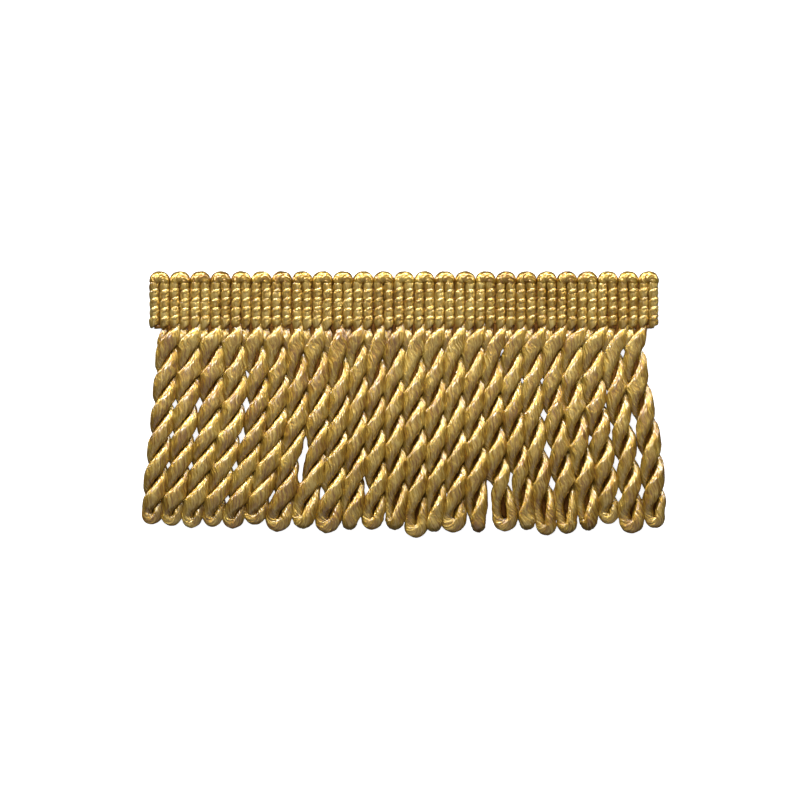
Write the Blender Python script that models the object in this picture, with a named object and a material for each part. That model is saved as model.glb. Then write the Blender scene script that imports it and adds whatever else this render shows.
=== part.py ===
"""A cut length of bullion fringe: a stitched heading with a looped upper edge and a skirt of twisted cords.

The trim lies on its back with its face up. X runs along it, +Y points from the skirt to the heading,
and +Z comes out of its face. The origin is the middle of the heading's flat back, on the surface that
the trim lies on. Sizes in the tables are in millimetres, and MM turns them into Blender's metres.
"""

import math
from collections import namedtuple

import bmesh
import bpy
import numpy as np

MM = 0.001
SHARP_ANGLE = math.radians(60)

# Heading: upright legs of cord, bound by rows of chain stitch, with a loop over each pair of legs
LOOPS = 25
LOOP_PITCH = 5.18
HEADING_HEIGHT = 14.6
HEADING_THICKNESS = 2.8
LEG_GROOVE = 0.9
LOOP_NOTCH = 2.3
STITCH_ROWS = 5
STITCH_PITCH = 2.25
STITCH_RELIEF = 0.3
FIRST_STITCH = 1.3
LOOP_START = FIRST_STITCH + STITCH_ROWS * STITCH_PITCH
LOOP_EDGE_THICKNESS = 2.0
COLUMNS_PER_LOOP = 6

# Skirt: each bullion is one cord doubled back and twisted on itself, so two plies run down it
BULLIONS = LOOPS - 1
BULLION_RADIUS = 2.4
PLY_SHOULDER = (1.35, 1.62)
PLY_VALLEY = 1.05
STEPS_PER_CROSSING = 4
ROOT_SWELLS = (0.70, 0.85, 0.95)
CORD_THICKNESS = 2.5
END_ARC_DEGREES = (35.0, 62.0, 82.0)
END_THINNING = (1.0, 0.95, 0.8)
ROOT_STRIP_HEIGHT = 1.8
ROOT_STRIP_THICKNESS = 2.6
ROOT_STRIP_GAP = 0.3
ROOT_DEPTH = 0.9

GOLD = (0.50, 0.34, 0.11, 1.0)
PALE_GOLD = (0.55, 0.40, 0.16, 1.0)

# One row for each bullion, from left to right, in millimetres.
#   upper, middle, lower, tip: how far it has swung sideways at 1/4, 1/2, 3/4 and the whole of its drop
#   drop: from the heading's lower edge to the end of its loop
#   first, last: depth of the first and last crossing that shows both plies side by side
#   turns: half turns of twist between those two
#   roll: degrees that the end loop is turned out of the trim's plane
#   loop: width across the end loop
Bullion = namedtuple("Bullion", "upper middle lower tip drop first last turns roll loop")
SKIRT = (
    Bullion(-1.0, -2.0, -3.4, -4.8, 49.8, 7.5, 46.4, 5, 5, 5.1),
    Bullion(-0.4, -1.5, -3.1, -5.1, 50.2, 7.5, 46.6, 5, 5, 4.9),
    Bullion(0.5, -0.5, -2.8, -5.0, 50.7, 7.0, 47.4, 5, 0, 4.9),
    Bullion(1.3, 0.0, -2.4, -5.1, 50.4, 7.0, 47.0, 5, 0, 4.8),
    Bullion(1.9, 1.1, -2.0, -4.9, 50.9, 7.5, 48.1, 5, 0, 5.3),
    Bullion(1.8, 0.9, -1.7, -4.7, 49.9, 7.1, 46.6, 5, 30, 5.3),
    Bullion(1.5, 0.9, -1.3, -4.1, 51.7, 10.3, 46.6, 4, 10, 6.4),
    Bullion(1.5, 1.3, -0.3, -2.8, 50.9, 9.3, 43.6, 4, 40, 5.8),
    Bullion(2.0, 1.5, 0.4, -2.0, 52.1, 11.5, 46.6, 4, 10, 6.6),
    Bullion(1.3, 0.9, 0.4, -1.5, 51.2, 6.4, 42.3, 4, 90, 5.1),
    Bullion(0.8, 0.5, 0.8, -1.1, 51.2, 11.8, 45.2, 4, 20, 5.6),
    Bullion(0.0, 0.0, 0.7, -0.4, 51.2, 7.5, 42.3, 4, 55, 5.1),
    Bullion(0.0, 0.0, 0.6, 0.0, 53.2, 11.8, 45.8, 4, 10, 5.9),
    Bullion(0.1, 0.5, 0.5, -0.4, 51.7, 7.5, 42.6, 4, 90, 5.1),
    Bullion(-0.3, 0.1, 0.1, -0.5, 51.9, 11.5, 46.6, 4, 10, 6.9),
    Bullion(-0.3, -0.1, 0.1, 1.0, 51.9, 7.5, 42.3, 4, 90, 5.1),
    Bullion(-0.8, -0.4, 1.1, 2.3, 51.6, 11.8, 43.7, 4, 5, 6.6),
    Bullion(-1.1, -0.5, 1.3, 2.9, 51.2, 8.9, 40.8, 4, 90, 5.1),
    Bullion(-1.1, -0.7, 1.0, 2.6, 52.6, 8.9, 44.1, 4, 25, 5.1),
    Bullion(-1.1, 0.1, 1.8, 2.7, 52.2, 8.5, 43.6, 4, 30, 5.3),
    Bullion(-1.4, -0.1, 1.8, 2.9, 51.4, 7.2, 43.1, 4, 60, 5.1),
    Bullion(-1.1, 0.3, 1.9, 2.8, 49.7, 8.3, 46.6, 5, 0, 5.1),
    Bullion(-0.8, 1.1, 2.9, 3.4, 52.1, 11.5, 46.3, 4, 15, 6.3),
    Bullion(-0.4, 2.1, 3.6, 4.4, 50.7, 9.8, 45.3, 4, 10, 5.1),
)


def clear_scene():
    for obj in list(bpy.data.objects):
        bpy.data.objects.remove(obj, do_unlink=True)


def new_collection(name, hidden=False):
    collection = bpy.data.collections.new(name)
    collection.hide_render = hidden
    bpy.context.scene.collection.children.link(collection)
    return collection


def rayon(name, colour, roughness):
    material = bpy.data.materials.new(name)
    material.use_nodes = True
    shader = material.node_tree.nodes["Principled BSDF"]
    shader.inputs["Base Color"].default_value = colour
    shader.inputs["Roughness"].default_value = roughness
    shader.inputs["Metallic"].default_value = 0.0
    return material


def mesh_object(name, bm, collection, material):
    mesh = bpy.data.meshes.new(name)
    bm.to_mesh(mesh)
    bm.free()
    mesh.shade_smooth()
    mesh.set_sharp_from_angle(angle=SHARP_ANGLE)
    mesh.materials.append(material)
    obj = bpy.data.objects.new(name, mesh)
    collection.objects.link(obj)
    return obj


def heading_outline(phase):
    """How far the upper edge drops below the top of its loop, at a phase from 0 to 1 across that loop."""
    from_middle = abs(phase - 0.5) * 2
    return LOOP_NOTCH * (1 - math.sqrt(max(0.0, 1 - from_middle**2)))


def heading_height(phase, above_base):
    """Thickness of the heading: legs stand out between grooves, and each stitch makes a bump on its leg."""
    if above_base == HEADING_HEIGHT:
        return LOOP_EDGE_THICKNESS
    in_groove = min(phase % 0.5, 0.5 - phase % 0.5) < 0.01
    between_stitches = (1 - math.cos(2 * math.pi * (above_base - FIRST_STITCH) / STITCH_PITCH)) / 2
    relief = STITCH_RELIEF * between_stitches if above_base < LOOP_START else 0.0
    return HEADING_THICKNESS - relief - (LEG_GROOVE if in_groove else 0.0)


def build_heading(collection, material):
    """A grid raised into legs, stitches and loops, with its edges drawn down to a flat back."""
    columns = LOOPS * COLUMNS_PER_LOOP
    width = LOOPS * LOOP_PITCH
    stitches = [FIRST_STITCH + half * STITCH_PITCH / 2 for half in range(2 * STITCH_ROWS)]
    levels = [0.0, *stitches, LOOP_START, HEADING_HEIGHT]
    rows = len(levels) - 1

    bm = bmesh.new()
    bmesh.ops.create_grid(bm, x_segments=columns, y_segments=rows, size=0.5)
    for vertex in bm.verts:
        column = round((vertex.co.x + 0.5) * columns)
        above_base = levels[round((vertex.co.y + 0.5) * rows)]
        phase = (column % COLUMNS_PER_LOOP) / COLUMNS_PER_LOOP
        thickness = heading_height(phase, above_base)
        if above_base == HEADING_HEIGHT:
            above_base -= heading_outline(phase)
        vertex.co.x = (column / columns - 0.5) * width * MM
        vertex.co.y = (above_base - HEADING_HEIGHT / 2) * MM
        vertex.co.z = thickness * MM
    rim = [edge for edge in bm.edges if edge.is_boundary]
    walls = bmesh.ops.extrude_edge_only(bm, edges=rim)["geom"]
    for vertex in (item for item in walls if isinstance(item, bmesh.types.BMVert)):
        vertex.co.z = 0.0
    bmesh.ops.holes_fill(bm, edges=[edge for edge in bm.edges if edge.is_boundary])
    bmesh.ops.recalc_face_normals(bm, faces=bm.faces)
    return mesh_object("heading", bm, collection, material)


def section_corners(radius, half_thickness):
    """Cross-section of a bullion, as (across, through) points: two plies with a valley between them."""
    across = radius / BULLION_RADIUS
    through = half_thickness / PLY_SHOULDER[1]
    side, shoulder = PLY_SHOULDER[0] * across, PLY_SHOULDER[1] * through
    valley = PLY_VALLEY * through
    return (
        (radius, 0.0),
        (side, shoulder),
        (0.0, valley),
        (-side, shoulder),
        (-radius, 0.0),
        (-side, -shoulder),
        (0.0, -valley),
        (side, -shoulder),
    )


def turned(corners, twist):
    """The corners turned about the bullion's axis, as (x, z) offsets."""
    cosine, sine = math.cos(twist), math.sin(twist)
    return [(u * cosine - v * sine, u * sine + v * cosine) for u, v in corners]


def bullion_sections(bullion):
    """Down a bullion, each section's depth below the heading, its height above the floor and its offsets."""
    half_turns = 1 + bullion.turns
    twists = [math.pi * step / STEPS_PER_CROSSING for step in range(half_turns * STEPS_PER_CROSSING + 1)]
    known_depths = [ROOT_STRIP_GAP + ROOT_DEPTH, bullion.first, bullion.last]
    known_twists = [0.0, math.pi, math.pi * half_turns]
    swells = [*ROOT_SWELLS, *[1.0] * (len(twists) - len(ROOT_SWELLS))]
    sections = []
    for twist, swell in zip(twists, swells):
        corners = section_corners(BULLION_RADIUS * swell, PLY_SHOULDER[1] * swell)
        depth = float(np.interp(twist, known_twists, known_depths))
        sections.append((depth, BULLION_RADIUS * swell, turned(corners, twist)))

    end_radius = bullion.loop / 2
    end_twist = math.pi * half_turns + math.radians(bullion.roll)
    turn = bullion.drop - end_radius
    end_loop = turned(section_corners(end_radius, CORD_THICKNESS / 2), end_twist)
    reach = max(z for _, z in end_loop)
    height = max(reach, (reach + BULLION_RADIUS) / 2)
    if turn > bullion.last + CORD_THICKNESS / 4:
        sections.append((turn, height, end_loop))
    for degrees, thinning in zip(END_ARC_DEGREES, END_THINNING):
        angle = math.radians(degrees)
        corners = section_corners(end_radius * math.cos(angle), thinning * CORD_THICKNESS / 2)
        depth = turn + end_radius * math.sin(angle)
        sections.append((depth, height, turned(corners, end_twist)))
    return sections


def bullion_rings(number, bullion):
    """Corner points of every section of a bullion, in metres."""
    root_x = (number - (BULLIONS - 1) / 2) * LOOP_PITCH
    swing = np.polyfit([0, 0.25, 0.5, 0.75, 1], [0, *bullion[:4]], 4)
    rings = []
    for depth, height, offsets in bullion_sections(bullion):
        middle = root_x + float(np.polyval(swing, depth / bullion.drop))
        y = -HEADING_HEIGHT / 2 - depth
        rings.append([((middle + x) * MM, y * MM, (height + z) * MM) for x, z in offsets])
    return rings


def lofted(rings):
    """A closed solid through rings of corner points, extruded from one ring to the next."""
    bm = bmesh.new()
    corner = bm.verts.layers.int.new("corner")
    start = bmesh.ops.create_circle(bm, cap_ends=True, segments=len(rings[0]), radius=1.0)["verts"]
    for number, vertex in enumerate(start):
        vertex[corner] = number
        vertex.co = rings[0][number]
    rim = bm.edges[:]
    for ring in rings[1:]:
        new = bmesh.ops.extrude_edge_only(bm, edges=rim)["geom"]
        for vertex in (item for item in new if isinstance(item, bmesh.types.BMVert)):
            vertex.co = ring[vertex[corner]]
        rim = [item for item in new if isinstance(item, bmesh.types.BMEdge) and item.is_boundary]
    bmesh.ops.holes_fill(bm, edges=rim)
    bmesh.ops.recalc_face_normals(bm, faces=bm.faces)
    return bm


def build_fringe(part, solids, material):
    """A narrow strip under the heading with every bullion rooted in it."""
    bm = bmesh.new()
    bmesh.ops.create_cube(bm, size=1.0)
    size = (LOOPS * LOOP_PITCH * MM, ROOT_STRIP_HEIGHT * MM, ROOT_STRIP_THICKNESS * MM)
    middle = -HEADING_HEIGHT / 2 - ROOT_STRIP_GAP - ROOT_STRIP_HEIGHT / 2
    bmesh.ops.scale(bm, vec=size, verts=bm.verts)
    bmesh.ops.translate(bm, vec=(0.0, middle * MM, ROOT_STRIP_THICKNESS / 2 * MM), verts=bm.verts)
    fringe = mesh_object("fringe", bm, part, material)

    for number, bullion in enumerate(SKIRT):
        solid = mesh_object(f"bullion_{number:02d}", lofted(bullion_rings(number, bullion)), solids, material)
        solid.hide_render = True
        solid.display_type = "WIRE"
    union = fringe.modifiers.new("bullions", "BOOLEAN")
    union.operation = "UNION"
    union.operand_type = "COLLECTION"
    union.collection = solids
    return fringe


def main():
    clear_scene()
    part = new_collection("bullion_fringe_trim")
    solids = new_collection("bullion_solids", hidden=True)
    build_heading(part, rayon("heading_rayon", PALE_GOLD, 0.5))
    build_fringe(part, solids, rayon("cord_rayon", GOLD, 0.35))


main()
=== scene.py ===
"""Looks of a cut length of bullion fringe in antique gold rayon, seen from straight above.

One satin cord makes the whole trim. In the heading it runs up and down in legs, with a round loop over
each pair. Rows of stitches with a nub between each two bind the legs, over threads that run along the
back. Below the heading the cord hangs in bullions: it is doubled back and twisted on itself, so each
bullion is two plies that meet in a loop at its end.
Lengths in the tables and constants are in millimetres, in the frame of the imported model. A depth is
measured down the skirt from the heading's lower edge. A pair of depths is where a change starts and ends.
"""

import math
from collections import namedtuple

import bpy
import numpy as np
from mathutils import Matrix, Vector


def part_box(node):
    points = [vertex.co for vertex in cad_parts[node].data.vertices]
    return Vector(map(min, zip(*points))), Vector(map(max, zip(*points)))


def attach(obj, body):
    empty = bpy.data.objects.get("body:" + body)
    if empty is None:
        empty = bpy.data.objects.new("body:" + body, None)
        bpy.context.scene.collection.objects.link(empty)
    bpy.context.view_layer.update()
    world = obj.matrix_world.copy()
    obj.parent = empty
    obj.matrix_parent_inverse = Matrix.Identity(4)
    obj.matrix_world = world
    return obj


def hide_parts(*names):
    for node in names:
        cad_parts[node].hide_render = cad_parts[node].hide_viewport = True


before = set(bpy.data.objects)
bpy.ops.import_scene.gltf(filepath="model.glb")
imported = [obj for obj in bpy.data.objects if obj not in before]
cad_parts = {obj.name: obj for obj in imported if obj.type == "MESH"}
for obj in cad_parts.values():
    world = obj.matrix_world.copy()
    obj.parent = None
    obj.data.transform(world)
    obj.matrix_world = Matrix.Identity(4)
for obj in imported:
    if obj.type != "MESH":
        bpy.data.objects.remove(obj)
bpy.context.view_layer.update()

MM = 0.001
TINY = 1e-9
heading_low, heading_high = (np.array(corner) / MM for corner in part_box("heading"))

# Legs and loops of the heading
LOOPS = 25
LOOP_PITCH = (heading_high[0] - heading_low[0]) / LOOPS
HEADING_BOTTOM = heading_low[1]
HEADING_TOP = heading_high[1]
LEG_OFFSET = 1.28
LEG_RADIUS = 0.62
LEG_HEIGHT = 1.30
LEG_START = 0.9
LEG_TOP = 2.4
LEG_STEPS = 8
LOOP_STEPS = 19
LOOP_SWELLS = (-1.0, 0.6)
LOOP_CORD_RADIUS = 1.36
LOOP_CROWN_RADIUS = 1.62
LOOP_SQUARENESS = 2.7
LOOP_FULLNESS = 2.0
LOOP_SIDES = 36
LOOP_FILAMENT_TURN = 0.75

# Stitches over the legs, and the nubs between them. A range holds the least and the most that chance gives.
STITCH_ROWS = 5
STITCH_PITCH = 2.30
FIRST_STITCH = 1.45
STITCH_HALF_WIDTH = 0.82
STITCH_FOOT = 0.45
STITCH_RISE = 1.45
STITCH_ARCH = 0.75
STITCH_SLANT = 0.62
STITCH_DROP = 0.35
STITCH_THROUGH = 0.66
STITCH_ALONG = 1.20
STITCH_END_SIZE = 0.62
STITCH_STEPS = 13
STITCH_SIDES = 16
STITCH_RELIEF = 0.8
STITCH_FILAMENT_TURN = 1.1
ARCH_RANGE = (0.7, 1.3)
SLANT_RANGE = (0.3, 1.7)
RISE_RANGE = (0.93, 1.05)
SIZE_RANGE = (0.94, 1.04)
STITCH_ASIDE_RANGE = (-0.06, 0.06)
STITCH_ALONG_RANGE = (-0.16, 0.16)
LEG_ASIDE_RANGE = (-0.04, 0.04)
LEG_LIFT_RANGE = (-0.22, 0.22)
NUB_RISE = 1.66
NUB_RADIUS = 0.64
NUB_END_SIZE = 0.7
NUB_STEPS = 9
NUB_SIDES = 10
NUB_RELIEF = 0.4
NUB_SLANT_RANGE = (0.25, 0.75)
NUB_SIZE_RANGE = (0.85, 1.1)
DOME_REACH = 0.98
OUTWARD_SPREAD = 0.9
OUTWARD_LIFT = 0.1

# Threads along the back, under the heading and under the roots of the bullions
GROUND_THREADS = 12
GROUND_PITCH = 1.02
GROUND_RADIUS = 0.56
GROUND_HEIGHT = 0.57
GROUND_INSET = 1.2
GROUND_STEPS = 8 * LOOPS
GROUND_SIDES = 8
GROUND_SWAY = 0.10
GROUND_BOB = 0.05
GROUND_SWELL = 0.06
GROUND_FILAMENT_TURN = 0.8
ROOT_THREADS = (-0.35, 0.65, 1.65)
FIRST_ROOT_THREAD = 20

# Plies of a bullion along its middle
STEP = 0.6
SIDES = 64
FULLNESS = 2.7
PLY_OFFSET = 1.60
PLY_OUTER = 1.46
PLY_INNER = 1.02
PLY_ACROSS = 1.90
PLY_ACROSS_RANGE = (0.96, 1.05)
LUMPS = 0.035
LUMP_LENGTHS = (1.6, 2.6)
AXIS_HEIGHT = 3.0
SETTLED = 0.78
SETTLES = (0.0, 35.0)
TWIST_SOFTENING = 3

# Roots of a bullion, where its two legs come out from under the heading
HIDDEN_ROOT = 1.2
TWIST_START = -0.6
ROOT_ENDS = (-0.9, 3.6)
ROOT_RADIUS = 0.78
ROOT_LAG = 0.95
LAG_STARTS = (-1.0, 2.5)
LAG_FADES_FROM = 3.4
ROOT_FLATNESS = 0.58
ROOT_HEIGHT = 3.9
ROOT_CREST_ENDS = (0.3, 4.5)
ROOT_DIP = 1.6
ROOT_DIP_ENDS = (-1.0, 3.0)
BACK_LEG_THINNING = 0.36
BACK_LEG_SINK = 0.7

# End loop of a bullion
TURN_REACH = 4.0
TURN_STEPS = 15
TURN_THICKENING = 0.5
TURN_NARROWING = 0.08
TURN_FULLNESS = 2.3
TURN_ACROSS = 1.45
TURN_ACROSS_EDGEWISE = 2.0
TURN_LIFT = 0.8
LEAST_END = 0.1
SLIT = 0.16
OPEN_LOOP = 17
OPEN_LOOP_HOLE = 1.2

# A dark strand inside a bullion: painted shade that fills the floor of its slits
CORE_RADIUS = 0.75
CORE_DROP = 1.5
CORE_STEPS = 45
CORE_SIDES = 16
CORE_END_DROP = 0.6
CORE_END_REACH = 5.0
CORE_ROOT_DROP = 0.45
CORE_ROOT_ENDS = (0.0, 5.0)

# Filaments wind round the ply at an angle that brings them nearly in line with the bullion
FILAMENT_TURN = 0.66
FILAMENT_STRETCH = 0.06
FIBRE_RADIUS = 1.5
BUNDLES = (5, 9, 14)
BUNDLE_RELIEF = (0.030, 0.034, 0.026)
BUNDLE_WANDER = 1.6
BUNDLE_WANDER_LENGTHS = (1.2, 2.4)
PHASES = (0, 6)

# Seeds of the chance details
LEG_SEED = 11
BULLION_SEED = 900
RIDGE_SEED = 5
# Where each kind of strand starts in the yarn's noise, and how far apart two of a kind are
NOISE_PLACES = {
    "bullion": (0.0, 7.3),
    "loop": (200, 3.1),
    "shade_core": (350, 1),
    "stitch": (400, 0.7),
    "nub": (600, 0.3),
    "ground": (700, 1.7),
}

# One row for each bullion, from left to right, as in the solids.
#   upper, middle, lower, tip: how far it has swung sideways at 1/4, 1/2, 3/4 and the whole of its drop
#   drop: from the heading's lower edge to the end of its loop
#   first, last: depth of the first and last crossing that shows both plies side by side
#   turns: half turns of twist between those two
#   roll: degrees that the end loop is turned out of the trim's plane
#   loop: width across the end loop
Bullion = namedtuple("Bullion", "upper middle lower tip drop first last turns roll loop")
SWING_DEPTHS = (0, 0.25, 0.5, 0.75, 1)
SKIRT = (
    Bullion(-1.0, -2.0, -3.4, -4.8, 49.8, 7.5, 46.4, 5, 5, 5.1),
    Bullion(-0.4, -1.5, -3.1, -5.1, 50.2, 7.5, 46.6, 5, 5, 4.9),
    Bullion(0.5, -0.5, -2.8, -5.0, 50.7, 7.0, 47.4, 5, 0, 4.9),
    Bullion(1.3, 0.0, -2.4, -5.1, 50.4, 7.0, 47.0, 5, 0, 4.8),
    Bullion(1.9, 1.1, -2.0, -4.9, 50.9, 7.5, 48.1, 5, 0, 5.3),
    Bullion(1.8, 0.9, -1.7, -4.7, 49.9, 7.1, 46.6, 5, 30, 5.3),
    Bullion(1.5, 0.9, -1.3, -4.1, 51.7, 10.3, 46.6, 4, 10, 6.4),
    Bullion(1.5, 1.3, -0.3, -2.8, 50.9, 9.3, 43.6, 4, 40, 5.8),
    Bullion(2.0, 1.5, 0.4, -2.0, 52.1, 11.5, 46.6, 4, 10, 6.6),
    Bullion(1.3, 0.9, 0.4, -1.5, 51.2, 6.4, 42.3, 4, 90, 5.1),
    Bullion(0.8, 0.5, 0.8, -1.1, 51.2, 11.8, 45.2, 4, 20, 5.6),
    Bullion(0.0, 0.0, 0.7, -0.4, 51.2, 7.5, 42.3, 4, 55, 5.1),
    Bullion(0.0, 0.0, 0.6, 0.0, 53.2, 11.8, 45.8, 4, 10, 5.9),
    Bullion(0.1, 0.5, 0.5, -0.4, 51.7, 7.5, 42.6, 4, 90, 5.1),
    Bullion(-0.3, 0.1, 0.1, -0.5, 51.9, 11.5, 46.6, 4, 10, 6.9),
    Bullion(-0.3, -0.1, 0.1, 1.0, 51.9, 7.5, 42.3, 4, 90, 5.1),
    Bullion(-0.8, -0.4, 1.1, 2.3, 51.6, 11.8, 43.7, 4, 5, 6.6),
    Bullion(-1.1, -0.5, 1.3, 2.9, 51.2, 8.9, 40.8, 4, 90, 5.1),
    Bullion(-1.1, -0.7, 1.0, 2.6, 52.6, 8.9, 44.1, 4, 25, 5.1),
    Bullion(-1.1, 0.1, 1.8, 2.7, 52.2, 8.5, 43.6, 4, 30, 5.3),
    Bullion(-1.4, -0.1, 1.8, 2.9, 51.4, 7.2, 43.1, 4, 60, 5.1),
    Bullion(-1.1, 0.3, 1.9, 2.8, 49.7, 8.3, 46.6, 5, 0, 5.1),
    Bullion(-0.8, 1.1, 2.9, 3.4, 52.1, 11.5, 46.3, 4, 15, 6.3),
    Bullion(-0.4, 2.1, 3.6, 4.4, 50.7, 9.8, 45.3, 4, 10, 5.1),
)

# Where light shows between a bullion, counted from the left, and the next one.
#   top, bottom: depths between which the two part
#   parting: how much both together give way there
Opening = namedtuple("Opening", "bullion top bottom parting")
OPENINGS = (
    Opening(1, 17.0, 38.0, 0.0),
    Opening(2, 17.0, 38.0, 0.0),
    Opening(4, 10.5, 37.0, 0.0),
    Opening(4, 41.5, 45.0, 0.2),
    Opening(6, 40.0, 45.0, 0.0),
    Opening(7, 27.5, 39.0, 1.4),
    Opening(8, 40.0, 44.0, 0.2),
    Opening(9, 46.5, 53.0, 0.3),
    Opening(10, 37.5, 42.5, 0.8),
    Opening(11, 46.0, 53.0, 0.3),
    Opening(14, 39.5, 43.5, 0.8),
    Opening(15, 45.0, 53.0, 0.4),
    Opening(16, 38.5, 53.0, 0.4),
    Opening(17, 4.5, 7.0, 0.5),
    Opening(17, 36.5, 41.5, 1.0),
    Opening(18, 12.5, 15.5, 0.3),
    Opening(19, 12.0, 43.0, 0.25),
    Opening(20, 46.0, 53.0, 0.3),
    Opening(21, 26.5, 29.5, 0.3),
    Opening(21, 42.0, 53.0, 0.3),
    Opening(22, 14.0, 44.0, 0.3),
    Opening(23, 4.5, 8.0, 0.4),
    Opening(23, 20.0, 44.0, 0.35),
)
OPENING_EASE = 1.0
LOOSE_ENDS = (47.0, 48.5)

# How neighbours press on each other. A gap up to the first reach closes, and past the second it stays.
OVERLAP = 0.35
CLOSED_REACH = (2.2, 3.2)
OPEN_REACH = (0.3, 0.7)
LEAST_NEEDED = 1.0
DEPTH_STEP = 0.3
DEPTH_CELLS = 190
CELLS_ABOVE = 2
CELL_SOFTENING = 1

# Yarn colours, as linear light: shade, middle and light
YARN_COLOURS = ((0.22, 0.092, 0.002, 1), (0.385, 0.220, 0.014, 1), (0.58, 0.405, 0.085, 1))
# Painted light: the stitches' yarn in lighter colours than the cord's, making up for the shade between the
# heading's ribs
STITCH_LIT_COLOURS = ((0.33, 0.17, 0.010, 1), (0.52, 0.33, 0.055, 1), (0.72, 0.54, 0.16, 1))
# Painted shade: a much darker, dull copy of the yarn for the strand inside each bullion
CORE_SHADE_COLOURS = ((0.11, 0.038, 0.003, 1), (0.16, 0.062, 0.006, 1), (0.24, 0.105, 0.014, 1))
# Painted shade: a darker, more orange copy of the yarn for the threads under the roots and along the
# heading's back, where the crevices are
ROOT_SHADE_COLOURS = ((0.22, 0.085, 0.006, 1), (0.36, 0.16, 0.016, 1), (0.52, 0.27, 0.04, 1))
COLOUR_STOPS = (0.41, 0.5, 0.59)

# Kinds of yarn.
#   stretch: how far its shine is drawn out along the filaments
#   grain: scale of the filaments' noise
#   relief: depth of the filaments, in millimetres
#   coat: weight of the clear shine over it
Satin = namedtuple("Satin", "roughness stretch grain relief coat colours")
SATINS = {
    "cord_satin": Satin(0.38, 0.8, 2.6, 0.48, 1.0, YARN_COLOURS),
    "loop_satin": Satin(0.31, 0.2, 2.6, 0.09, 0.65, YARN_COLOURS),
    "lit_stitch_satin": Satin(0.36, 0.45, 2.4, 0.30, 1.0, STITCH_LIT_COLOURS),
    "core_shade_satin": Satin(0.6, 0.0, 2.6, 0.3, 0.0, CORE_SHADE_COLOURS),
    "crevice_shade_satin": Satin(0.5, 0.0, 2.6, 0.3, 0.2, ROOT_SHADE_COLOURS),
}
METALLIC = 0.76
COAT_IOR = 1.80
COAT_ROUGHNESS = 0.23
SHINE_TURN = 0.25
FLECK_GRAIN = 0.8
FLECK_SHORTENING = 9.0
DRIFT_SCALE = 180.0
# Shares of the filaments, the flecks and the drift in the tone, and of the first two in the relief
FILAMENT_TONE = 0.45
FLECK_TONE = 0.3
DRIFT_TONE = 0.25
FILAMENT_DEPTH = 0.4
FLECK_DEPTH = 0.6

# The photograph's frame: 800 pixels across 203.2 mm, level with the trim's face
FRAME_WIDTH = 203.2
FRAME_CENTRE = (-1.05, -25.46)
LENS = 300.0
SENSOR = 36.0
CAMERA_SIGHT = 20.0

# Lights in metres and watts. A light faces the trim and is then shifted along it.
AIM = (0.0, -25.0 * MM, 0.0)
STRIP_TILT = math.radians(62)
STRIP_DISTANCE = 1.0
STRIP_Y = AIM[1] + STRIP_DISTANCE * math.sin(STRIP_TILT)
STRIP_HEIGHT = STRIP_DISTANCE * math.cos(STRIP_TILT)
Light = namedtuple("Light", "name place size power colour shift")
LIGHTS = (
    Light("strip", (0.0, STRIP_Y, STRIP_HEIGHT), (5.0, 0.12), 63.0, (1.0, 0.99, 0.97), -0.6),
    Light("overhead", (0.0, 0.0, 2.2), (3.2, 3.2), 12.0, (1.0, 1.0, 1.0), 0.0),
    Light("crest", (-0.35, 0.70, 1.55), (0.22, 0.22), 10.5, (1.0, 0.99, 0.97), 0.0),
    Light("fill", (0.0, -1.7, 1.5), (3.0, 1.0), 5.0, (1.0, 0.97, 0.90), 0.0),
)
WHITE = (1.0, 1.0, 1.0, 1.0)
SKY_STRENGTH = 0.09
FLOOR_HALF = 3.0
FLOOR_DROP = 0.05
FLOOR_COLOUR = (0.7, 0.7, 0.7, 1.0)
FLOOR_ROUGHNESS = 0.9
FLOOR_GLOW = 0.9

Strand = namedtuple("Strand", "rings fibre")


def unit(vectors):
    return vectors / np.linalg.norm(vectors, axis=-1, keepdims=True)


def eased(values, start, end):
    """0 before start, 1 after end, and a smooth rise between them."""
    t = np.clip((values - start) / (end - start), 0, 1)
    return t * t * (3 - 2 * t)


def softened(values, reach):
    """A moving average over reach samples each way, with the ends held."""
    padded = np.pad(values, reach, mode="edge")
    return np.convolve(padded, np.ones(2 * reach + 1) / (2 * reach + 1), mode="valid")


def noise_place(kind, number):
    first, step = NOISE_PLACES[kind]
    return first + step * number


def straight_up(points):
    return np.tile([0.0, 0.0, 1.0], (len(points), 1))


def bundle_relief(columns, length, rng):
    """Height of the ridges that bundles of filaments make, for each filament line along the ply."""
    relief = np.zeros((len(length), len(columns)))
    for count, height in zip(BUNDLES, BUNDLE_RELIEF):
        start = rng.uniform(0, 2 * math.pi)
        wander = length / rng.uniform(*BUNDLE_WANDER_LENGTHS) + rng.uniform(*PHASES)
        phase = start + BUNDLE_WANDER * np.sin(wander)
        relief += height * np.cos(count * columns[None, :] + phase[:, None])
    return relief


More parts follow.
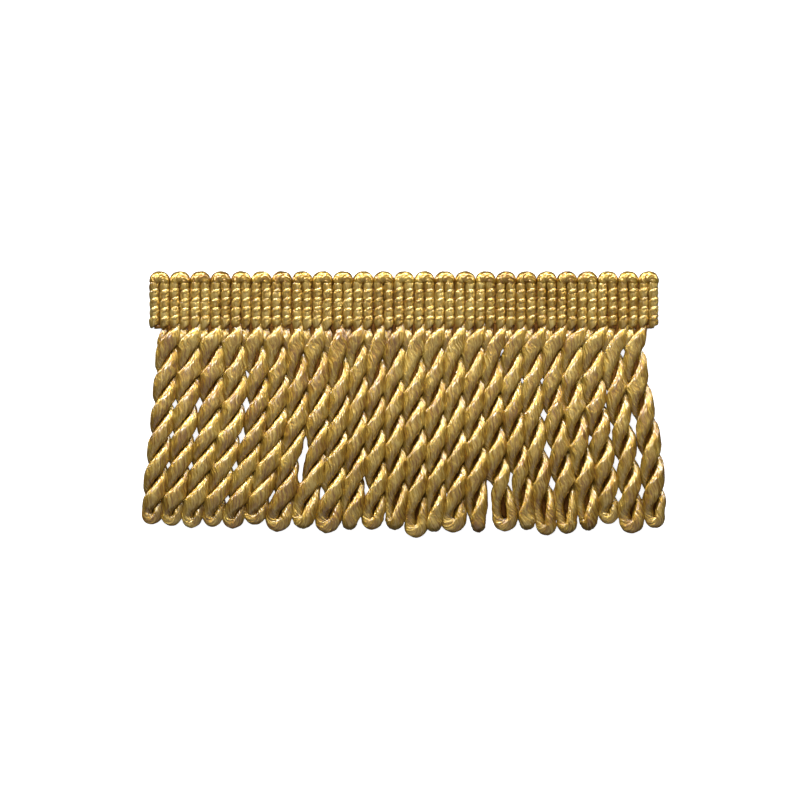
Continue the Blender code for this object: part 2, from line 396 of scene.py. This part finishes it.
def strand(points, outward, halves, place, sides=SIDES, turn=FILAMENT_TURN, relief=1.0, fullness=FULLNESS):
    """Rings of points round a path. halves are the section's reach outward, across and back inward.

    The same column of every ring follows one filament, which winds round the path as it goes.
    """
    rng = np.random.default_rng(int(place * 1000) + RIDGE_SEED)
    tangent = unit(np.gradient(points, axis=0))
    out = unit(outward - np.sum(outward * tangent, axis=1, keepdims=True) * tangent)
    across = np.cross(tangent, out)
    length = np.concatenate([[0.0], np.cumsum(np.linalg.norm(np.diff(points, axis=0), axis=1))])
    columns = 2 * math.pi * np.arange(sides) / sides
    fullness = np.broadcast_to(fullness, len(points))[:, None]
    angles = columns[None, :] - turn * length[:, None]
    cosine = np.sign(np.cos(angles)) * np.abs(np.cos(angles)) ** (2 / fullness)
    sine = np.sign(np.sin(angles)) * np.abs(np.sin(angles)) ** (2 / fullness)
    outer, beside, inner = (np.broadcast_to(half, len(points))[:, None] for half in halves)
    ridges = relief * bundle_relief(columns, length, rng)
    rings = (
        points[:, None]
        + ((np.where(cosine > 0, outer, inner) + ridges) * cosine)[:, :, None] * out[:, None]
        + ((beside + ridges) * sine)[:, :, None] * across[:, None]
    )
    rings[..., 2] = np.maximum(rings[..., 2], 0.0)
    along = np.broadcast_to(FILAMENT_STRETCH * length[:, None], angles.shape)
    round_ply = np.broadcast_to(columns, angles.shape)
    fibre_x = FIBRE_RADIUS * np.cos(round_ply)
    fibre_y = FIBRE_RADIUS * np.sin(round_ply)
    return Strand(rings, np.stack([fibre_x, fibre_y, along + place], axis=2))


def strands_mesh(name, strands, material):
    """One mesh object from strands, each a closed tube with capped ends."""
    points, fibres, lies, faces = [], [], [], []
    start = 0
    for rings, fibre in strands:
        count, sides = rings.shape[:2]
        here = start + np.arange(count * sides).reshape(count, sides)
        beside = np.roll(here, -1, axis=1)
        quads = np.stack([here[:-1], beside[:-1], beside[1:], here[1:]], axis=2).reshape(-1, 4)
        faces += quads.tolist()
        faces += [here[0][::-1].tolist(), here[-1].tolist()]
        points.append(rings.reshape(-1, 3))
        fibres.append(fibre.reshape(-1, 3))
        lies.append(unit(np.gradient(rings, axis=0) + TINY).reshape(-1, 3))
        start += count * sides
    mesh = bpy.data.meshes.new(name)
    mesh.from_pydata((np.concatenate(points) * MM).tolist(), [], faces)
    for attribute_name, vectors in (("fibre", fibres), ("lie", lies)):
        attribute = mesh.attributes.new(attribute_name, "FLOAT_VECTOR", "POINT")
        attribute.data.foreach_set("vector", np.concatenate(vectors).astype(np.float32).ravel())
    mesh.shade_smooth()
    mesh.validate()
    mesh.materials.append(material)
    piece = bpy.data.objects.new(name, mesh)
    bpy.context.scene.collection.objects.link(piece)
    return piece


def bullion_axis(number, bullion):
    """A function of depth below the heading: the x of a bullion's axis."""
    root_x = (number - (LOOPS - 2) / 2) * LOOP_PITCH
    swung = [0, bullion.upper, bullion.middle, bullion.lower, bullion.tip]
    swing = np.polyfit(SWING_DEPTHS, swung, len(SWING_DEPTHS) - 1)

    def across(depth):
        return root_x + np.polyval(swing, np.clip(depth, 0, None) / bullion.drop)

    return across


def axis_height(depth, near_turn, end_height):
    """Height of a bullion's axis: it comes up from behind the heading's edge, crests and settles."""
    height = AXIS_HEIGHT + (end_height - AXIS_HEIGHT) * near_turn
    height = height + (ROOT_HEIGHT - AXIS_HEIGHT) * (1 - eased(depth, *ROOT_CREST_ENDS))
    return height - ROOT_DIP * (1 - eased(depth, *ROOT_DIP_ENDS))


def bullion_strand(number, bullion):
    """The doubled cord of one bullion: down one ply, round the end loop and up the other."""
    rng = np.random.default_rng(BULLION_SEED + number)
    across = bullion_axis(number, bullion)
    turn = bullion.drop - bullion.loop / 2 - TURN_THICKENING
    last = min(bullion.last, turn - LEAST_END)
    depth = np.linspace(-HIDDEN_ROOT, turn, int((turn + HIDDEN_ROOT) / STEP) + 1)
    half_turns = 1 + bullion.turns
    end_twist = math.pi * half_turns + math.radians(bullion.roll)
    known_depths = [TWIST_START, bullion.first, last, turn]
    known_twists = [0.0, math.pi, math.pi * half_turns, end_twist]
    twist = softened(np.interp(depth, known_depths, known_twists), TWIST_SOFTENING)

    near_root = 1 - eased(depth, *ROOT_ENDS)
    near_turn = eased(depth, turn - TURN_REACH, turn)
    lag = ROOT_LAG * eased(depth, *LAG_STARTS) * (1 - eased(depth, LAG_FADES_FROM, bullion.first))
    edgewise = abs(math.sin(end_twist))
    hole = OPEN_LOOP_HOLE if number + 1 == OPEN_LOOP else SLIT
    leg_half = (bullion.loop - hole) / 4
    end_across = TURN_ACROSS + (TURN_ACROSS_EDGEWISE - TURN_ACROSS) * edgewise

    def along(middle, at_root, at_turn):
        return middle + (at_root - middle) * near_root + (at_turn - middle) * near_turn

    offset = along(PLY_OFFSET, LOOP_PITCH / 2 - LEG_OFFSET, bullion.loop / 2 - leg_half)
    wide = PLY_ACROSS * rng.uniform(*PLY_ACROSS_RANGE)
    waves = np.sin(depth / rng.uniform(*LUMP_LENGTHS) + rng.uniform(*PHASES))
    lumps = LUMPS * waves * (1 - near_turn)
    outer = along(PLY_OUTER, ROOT_RADIUS, leg_half)
    inner = along(PLY_INNER, ROOT_RADIUS, leg_half)
    beside = along(wide, ROOT_RADIUS, end_across) * (1 + lumps)
    reach = edgewise * bullion.loop / 2 + abs(math.cos(end_twist)) * end_across
    end_height = max(reach, reach + TURN_LIFT * (AXIS_HEIGHT - reach))
    height = axis_height(depth, near_turn, end_height)

    axis = np.stack([across(depth), HEADING_BOTTOM - depth, height], axis=1)
    outward = np.stack([np.cos(twist), np.zeros_like(twist), np.sin(twist)], axis=1)
    down = unit(axis[-1] - axis[-4])
    angles = np.linspace(0, math.pi, TURN_STEPS + 2)[1:-1]
    bulge = np.sin(angles)
    arc_outward = np.cos(angles)[:, None] * outward[-1] + bulge[:, None] * down
    arc_outer = leg_half + TURN_THICKENING * bulge
    arc_beside = end_across * (1 - TURN_NARROWING * bulge)
    arc = axis[-1] + (bullion.loop / 2 - leg_half) * arc_outward

    behind = np.stack([-np.cos(twist - lag), np.zeros_like(twist), -np.sin(twist - lag)], axis=1)
    first_ply = axis + offset[:, None] * outward
    second_ply = axis + offset[:, None] * behind
    second_ply[:, 2] -= BACK_LEG_SINK * near_root
    points = np.concatenate([first_ply, arc, second_ply[::-1]])
    out = np.concatenate([outward, arc_outward, behind[::-1]])
    thin = 1 - BACK_LEG_THINNING * near_root
    halves = [
        np.concatenate([outer, arc_outer, (outer * thin)[::-1]]),
        np.concatenate([beside, arc_beside, (beside * thin)[::-1]]),
        np.concatenate([inner, np.full_like(bulge, leg_half), (inner * thin)[::-1]]),
    ]
    leg_fullness = FULLNESS + (TURN_FULLNESS - FULLNESS) * near_turn
    fullness = np.concatenate([leg_fullness, np.full_like(bulge, TURN_FULLNESS), leg_fullness[::-1]])
    made = strand(points, out, halves, noise_place("bullion", number), fullness=fullness)
    settling = eased(HEADING_BOTTOM - made.rings[:, :, 1], *SETTLES)
    made.rings[:, :, 2] *= SETTLED * (ROOT_FLATNESS + (1 - ROOT_FLATNESS) * settling)
    return made


def shade_core_strand(number, bullion):
    """A dark strand inside a bullion, coloured as painted shade, which shows only as the dark floor of its
    slits.
    """
    across = bullion_axis(number, bullion)
    end = bullion.drop - bullion.loop / 2
    depth = np.linspace(-HIDDEN_ROOT, end, CORE_STEPS)
    height = (AXIS_HEIGHT - CORE_DROP) * SETTLED - CORE_END_DROP * eased(depth, end - CORE_END_REACH, end)
    height = height - CORE_ROOT_DROP * (1 - eased(depth, *CORE_ROOT_ENDS))
    points = np.stack([across(depth), HEADING_BOTTOM - depth, height], axis=1)
    place = noise_place("shade_core", number)
    return strand(points, straight_up(points), [CORE_RADIUS] * 3, place, sides=CORE_SIDES)


def openness(number, depth):
    """How far a bullion parts from its right neighbour, from 0 to 1, and how much the two give way."""
    parted = eased(depth, *LOOSE_ENDS)
    parting = np.zeros_like(depth)
    for opening in OPENINGS:
        if opening.bullion == number + 1:
            middle = (opening.top + opening.bottom) / 2
            half = (opening.bottom - opening.top) / 2
            here = 1 - eased(np.abs(depth - middle), half - OPENING_EASE, half + OPENING_EASE)
            parted = np.maximum(parted, here)
            parting = np.maximum(parting, here * opening.parting)
    return parted, parting


def side_reach(rings, across):
    """How far a bullion reaches to its left and right of its axis, in cells of depth."""
    depth = HEADING_BOTTOM - rings[..., 1]
    aside = rings[..., 0] - across(depth)
    cell = np.clip((depth / DEPTH_STEP).astype(int) + CELLS_ABOVE, 0, DEPTH_CELLS - 1)
    sides = []
    for distance in (-aside, aside):
        reach = np.zeros(DEPTH_CELLS)
        np.maximum.at(reach, cell.ravel(), distance.ravel())
        sides.append(softened(reach, CELL_SOFTENING))
    return sides


def press_neighbours(strands):
    """Neighbours that would overlap sideways both give way, and two that nearly meet spread to touch."""
    axes = [bullion_axis(number, bullion) for number, bullion in enumerate(SKIRT)]
    cell_depth = (np.arange(DEPTH_CELLS) - CELLS_ABOVE + 0.5) * DEPTH_STEP
    reaches = [side_reach(made.rings, across) for made, across in zip(strands, axes)]
    keep = np.ones((len(strands), 2, DEPTH_CELLS))
    for number in range(len(strands) - 1):
        room = axes[number + 1](cell_depth) - axes[number](cell_depth) + OVERLAP
        needed = reaches[number][1] + reaches[number + 1][0]
        gap = np.maximum(room - needed, 0)
        parted, parting = openness(number, cell_depth)
        near = CLOSED_REACH[0] + (OPEN_REACH[0] - CLOSED_REACH[0]) * parted
        far = CLOSED_REACH[1] + (OPEN_REACH[1] - CLOSED_REACH[1]) * parted
        wanted = needed + gap * (1 - eased(gap, near, far)) - parting
        factor = softened(np.minimum(room, wanted) / np.maximum(needed, LEAST_NEEDED), CELL_SOFTENING)
        keep[number, 1] = factor
        keep[number + 1, 0] = factor
    for number, (made, across) in enumerate(zip(strands, axes)):
        depth = HEADING_BOTTOM - made.rings[..., 1]
        aside = made.rings[..., 0] - across(depth)
        left = np.interp(depth, cell_depth, keep[number, 0])
        right = np.interp(depth, cell_depth, keep[number, 1])
        made.rings[..., 0] = across(depth) + aside * np.where(aside < 0, left, right)


def loop_middle(number):
    return (number - (LOOPS - 1) / 2) * LOOP_PITCH


def loop_strand(number):
    """The heading's cord over one loop: up a leg, round and down the next leg. It spreads where it turns."""
    turn_y = HEADING_TOP - 2 * LOOP_CROWN_RADIUS
    low_y = HEADING_BOTTOM + LEG_START
    leg_y = np.concatenate([[low_y], np.linspace(turn_y - LEG_TOP, turn_y, LEG_STEPS)])
    angles = np.linspace(math.pi, 0, LOOP_STEPS)[1:-1]
    bulge = np.sin(angles)
    arc_x = LEG_OFFSET * np.sign(np.cos(angles)) * np.abs(np.cos(angles)) ** (2 / LOOP_SQUARENESS)
    arc_y = turn_y + LOOP_CROWN_RADIUS * bulge ** (2 / LOOP_SQUARENESS)
    x = np.concatenate([np.full_like(leg_y, -LEG_OFFSET), arc_x, np.full_like(leg_y, LEG_OFFSET)])
    y = np.concatenate([leg_y, arc_y, leg_y[::-1]])
    crown = np.concatenate([np.zeros_like(leg_y), bulge, np.zeros_like(leg_y)])
    in_turn = eased(y - turn_y, *LOOP_SWELLS)
    height = LEG_RADIUS + (LOOP_CORD_RADIUS - LEG_RADIUS) * in_turn
    width = height + (LOOP_CROWN_RADIUS - LOOP_CORD_RADIUS) * crown
    points = np.stack([x + loop_middle(number), y, np.full_like(x, LEG_HEIGHT)], axis=1)
    return strand(
        points,
        straight_up(points),
        [height, width, height],
        noise_place("loop", number),
        sides=LOOP_SIDES,
        turn=LOOP_FILAMENT_TURN,
        fullness=LOOP_FULLNESS,
    )


def over_leg(steps):
    """From the left of a leg to its right: the place across it, an arch over it and the way out of it."""
    across = np.linspace(-1, 1, steps)
    dome = np.sqrt(1 - (DOME_REACH * across) ** 2)
    outward = np.stack([OUTWARD_SPREAD * across, np.zeros_like(across), dome + OUTWARD_LIFT], axis=1)
    return across, dome, outward


def stitch_strand(x, y, number):
    """One stitch over a leg: an arch that leaves the back on the left and goes in on the right."""
    rng = np.random.default_rng(number)
    across, dome, outward = over_leg(STITCH_STEPS)
    arch = STITCH_ARCH * rng.uniform(*ARCH_RANGE) * (1 - across**2)
    slant = STITCH_SLANT * rng.uniform(*SLANT_RANGE) * across
    path_x = x + STITCH_HALF_WIDTH * across + rng.uniform(*STITCH_ASIDE_RANGE)
    path_z = STITCH_FOOT + STITCH_RISE * rng.uniform(*RISE_RANGE) * dome
    path_y = y - STITCH_DROP + arch + slant + rng.uniform(*STITCH_ALONG_RANGE)
    points = np.stack([path_x, path_y, path_z], axis=1)
    size = (STITCH_END_SIZE + (1 - STITCH_END_SIZE) * dome) * rng.uniform(*SIZE_RANGE)
    return strand(
        points,
        outward,
        [STITCH_THROUGH * size, STITCH_ALONG * size, STITCH_THROUGH * size],
        noise_place("stitch", number),
        sides=STITCH_SIDES,
        turn=STITCH_FILAMENT_TURN,
        relief=STITCH_RELIEF,
    )


def nub_strand(x, y, number):
    """The thinner end that shows as a nub between two stitches."""
    rng = np.random.default_rng(number)
    across, dome, outward = over_leg(NUB_STEPS)
    path_x = x + STITCH_HALF_WIDTH * across
    path_y = y + rng.uniform(*NUB_SLANT_RANGE) * across
    points = np.stack([path_x, path_y, STITCH_FOOT + NUB_RISE * dome], axis=1)
    radius = NUB_RADIUS * rng.uniform(*NUB_SIZE_RANGE) * (NUB_END_SIZE + (1 - NUB_END_SIZE) * dome)
    return strand(
        points,
        outward,
        [radius] * 3,
        noise_place("nub", number),
        sides=NUB_SIDES,
        turn=STITCH_FILAMENT_TURN,
        relief=NUB_RELIEF,
    )


def leg_places():
    for number in range(LOOPS):
        yield loop_middle(number) - LEG_OFFSET
        yield loop_middle(number) + LEG_OFFSET


def stitch_strands():
    """The stitches and nubs of every leg, from left to right and from the lower edge up."""
    rng = np.random.default_rng(LEG_SEED)
    made = []
    for leg, x in enumerate(leg_places()):
        leg_x = x + rng.uniform(*LEG_ASIDE_RANGE)
        lift = rng.uniform(*LEG_LIFT_RANGE)
        for row in range(STITCH_ROWS):
            y = HEADING_BOTTOM + FIRST_STITCH + row * STITCH_PITCH + lift
            number = 2 * (leg * STITCH_ROWS + row)
            made.append(stitch_strand(leg_x, y, number))
            if row:
                made.append(nub_strand(leg_x, y - STITCH_PITCH / 2, number + 1))
    return made


def ground_thread(y, half_length, number):
    """A thread that runs along the back of the trim."""
    x = np.linspace(-half_length, half_length, GROUND_STEPS)
    wave = math.pi * (x / LOOP_PITCH * 2 + number)
    path_y = y + GROUND_SWAY * np.sin(wave)
    path_z = GROUND_HEIGHT + GROUND_BOB * np.cos(wave)
    points = np.stack([x, path_y, path_z], axis=1)
    radius = GROUND_RADIUS * (1 + GROUND_SWELL * np.cos(wave))
    return strand(
        points,
        straight_up(points),
        [radius] * 3,
        noise_place("ground", number),
        sides=GROUND_SIDES,
        turn=GROUND_FILAMENT_TURN,
        relief=0.0,
    )


def ground_strands():
    half_length = (heading_high[0] - heading_low[0]) / 2 - GROUND_INSET
    low_y = HEADING_BOTTOM + GROUND_RADIUS
    return [ground_thread(low_y + row * GROUND_PITCH, half_length, row) for row in range(GROUND_THREADS)]


def root_strands():
    half_length = (LOOPS - 2) / 2 * LOOP_PITCH + LEG_OFFSET
    numbered = enumerate(ROOT_THREADS, FIRST_ROOT_THREAD)
    return [ground_thread(HEADING_BOTTOM - depth, half_length, number) for number, depth in numbered]


def satin(name):
    """Rayon yarn: filament streaks in colour and relief, a stretched shine and slow drifts in tone."""
    kind = SATINS[name]
    material = bpy.data.materials.new(name)
    material.use_nodes = True
    nodes, links = material.node_tree.nodes, material.node_tree.links
    shader = nodes["Principled BSDF"]
    shader.inputs["Metallic"].default_value = METALLIC
    shader.inputs["Roughness"].default_value = kind.roughness
    shader.inputs["Anisotropic"].default_value = kind.stretch
    shader.inputs["Anisotropic Rotation"].default_value = SHINE_TURN
    shader.inputs["Coat Weight"].default_value = kind.coat
    shader.inputs["Coat IOR"].default_value = COAT_IOR
    shader.inputs["Coat Roughness"].default_value = COAT_ROUGHNESS

    def attribute(attribute_name):
        node = nodes.new("ShaderNodeAttribute")
        node.attribute_name = attribute_name
        return node.outputs["Vector"]

    def noise(place, scale, detail, roughness):
        node = nodes.new("ShaderNodeTexNoise")
        node.inputs["Scale"].default_value = scale
        node.inputs["Detail"].default_value = detail
        node.inputs["Roughness"].default_value = roughness
        links.new(place, node.inputs["Vector"])
        return node.outputs["Fac"]

    def weighed(value, weight, rest=None):
        node = nodes.new("ShaderNodeMath")
        node.operation = "MULTIPLY_ADD"
        node.inputs[1].default_value = weight
        node.inputs[2].default_value = 0.0
        links.new(value, node.inputs[0])
        if rest:
            links.new(rest, node.inputs[2])
        return node.outputs[0]

    links.new(attribute("lie"), shader.inputs["Tangent"])
    fibre = attribute("fibre")
    shorten = nodes.new("ShaderNodeVectorMath")
    shorten.operation = "MULTIPLY"
    shorten.inputs[1].default_value = (1.0, 1.0, FLECK_SHORTENING)
    links.new(fibre, shorten.inputs[0])
    place = nodes.new("ShaderNodeTexCoord").outputs["Object"]
    filaments = noise(fibre, kind.grain, detail=4.0, roughness=0.65)
    flecks = noise(shorten.outputs["Vector"], FLECK_GRAIN * kind.grain, detail=3.0, roughness=0.6)
    drift = noise(place, DRIFT_SCALE, detail=2.0, roughness=0.5)

    tone = weighed(filaments, FILAMENT_TONE, weighed(flecks, FLECK_TONE, weighed(drift, DRIFT_TONE)))
    ramp = nodes.new("ShaderNodeValToRGB")
    shade, middle, light = kind.colours
    shade_stop, light_stop = ramp.color_ramp.elements
    shade_stop.position = COLOUR_STOPS[0]
    shade_stop.color = shade
    light_stop.position = COLOUR_STOPS[2]
    light_stop.color = light
    ramp.color_ramp.elements.new(COLOUR_STOPS[1]).color = middle
    links.new(tone, ramp.inputs["Fac"])
    links.new(ramp.outputs["Color"], shader.inputs["Base Color"])

    relief = nodes.new("ShaderNodeBump")
    relief.inputs["Strength"].default_value = 1.0
    relief.inputs["Distance"].default_value = kind.relief * MM
    depth = weighed(filaments, FILAMENT_DEPTH, weighed(flecks, FLECK_DEPTH))
    links.new(depth, relief.inputs["Height"])
    links.new(relief.outputs["Normal"], shader.inputs["Normal"])
    return material


def belongs(piece, node):
    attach(piece, "root")
    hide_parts(node)


def build_trim():
    cord, looped, stitch, shade_core, root = (satin(name) for name in SATINS)
    skirt = [bullion_strand(number, bullion) for number, bullion in enumerate(SKIRT)]
    press_neighbours(skirt)
    for number, made in enumerate(skirt, 1):
        belongs(strands_mesh(f"bullion_{number:02d}", [made], cord), "fringe")
    shade_cores = [shade_core_strand(number, bullion) for number, bullion in enumerate(SKIRT)]
    belongs(strands_mesh("bullion_shade_cores", shade_cores, shade_core), "fringe")
    # The root threads here and the heading's ground threads below wear painted crevice shade
    belongs(strands_mesh("bullion_roots", root_strands(), root), "fringe")
    loops = [loop_strand(number) for number in range(LOOPS)]
    belongs(strands_mesh("heading_loops", loops, looped), "heading")
    # The stitches' colours carry painted light: they are lighter than the cord's yarn
    belongs(strands_mesh("heading_stitches", stitch_strands(), stitch), "heading")
    belongs(strands_mesh("heading_ground", ground_strands(), root), "heading")


def place_camera():
    camera = bpy.data.cameras.new("camera")
    camera.lens = LENS
    camera.sensor_width = SENSOR
    camera.sensor_height = SENSOR
    camera.clip_end = CAMERA_SIGHT
    holder = bpy.data.objects.new("camera", camera)
    distance = FRAME_WIDTH * LENS / SENSOR
    holder.location = [value * MM for value in (*FRAME_CENTRE, distance + AXIS_HEIGHT)]
    bpy.context.scene.collection.objects.link(holder)
    bpy.context.scene.camera = holder


def place_light(row):
    light = bpy.data.lights.new(row.name, "AREA")
    light.shape = "RECTANGLE"
    light.size, light.size_y = row.size
    light.energy = row.power
    light.color = row.colour
    holder = bpy.data.objects.new(row.name, light)
    holder.location = row.place
    holder.rotation_euler = (Vector(AIM) - Vector(row.place)).to_track_quat("-Z", "Y").to_euler()
    holder.location.x += row.shift
    bpy.context.scene.collection.objects.link(holder)


def build_studio():
    for row in LIGHTS:
        place_light(row)
    world = bpy.data.worlds.new("studio")
    world.use_nodes = True
    background = world.node_tree.nodes["Background"]
    background.inputs["Color"].default_value = WHITE
    background.inputs["Strength"].default_value = SKY_STRENGTH
    bpy.context.scene.world = world
    bpy.context.scene.view_settings.view_transform = "Standard"

    half = FLOOR_HALF
    corners = [(-half, -half, 0), (half, -half, 0), (half, half, 0), (-half, half, 0)]
    mesh = bpy.data.meshes.new("floor")
    mesh.from_pydata(corners, [], [(0, 1, 2, 3)])
    material = bpy.data.materials.new("pale_floor")
    material.use_nodes = True
    shader = material.node_tree.nodes["Principled BSDF"]
    shader.inputs["Base Color"].default_value = FLOOR_COLOUR
    shader.inputs["Roughness"].default_value = FLOOR_ROUGHNESS
    shader.inputs["Emission Color"].default_value = WHITE
    shader.inputs["Emission Strength"].default_value = FLOOR_GLOW
    mesh.materials.append(material)
    floor = bpy.data.objects.new("floor", mesh)
    floor.location.z = -FLOOR_DROP * MM
    floor.visible_glossy = False
    floor.visible_diffuse = False
    bpy.context.scene.collection.objects.link(floor)


place_camera()
build_trim()
build_studio()
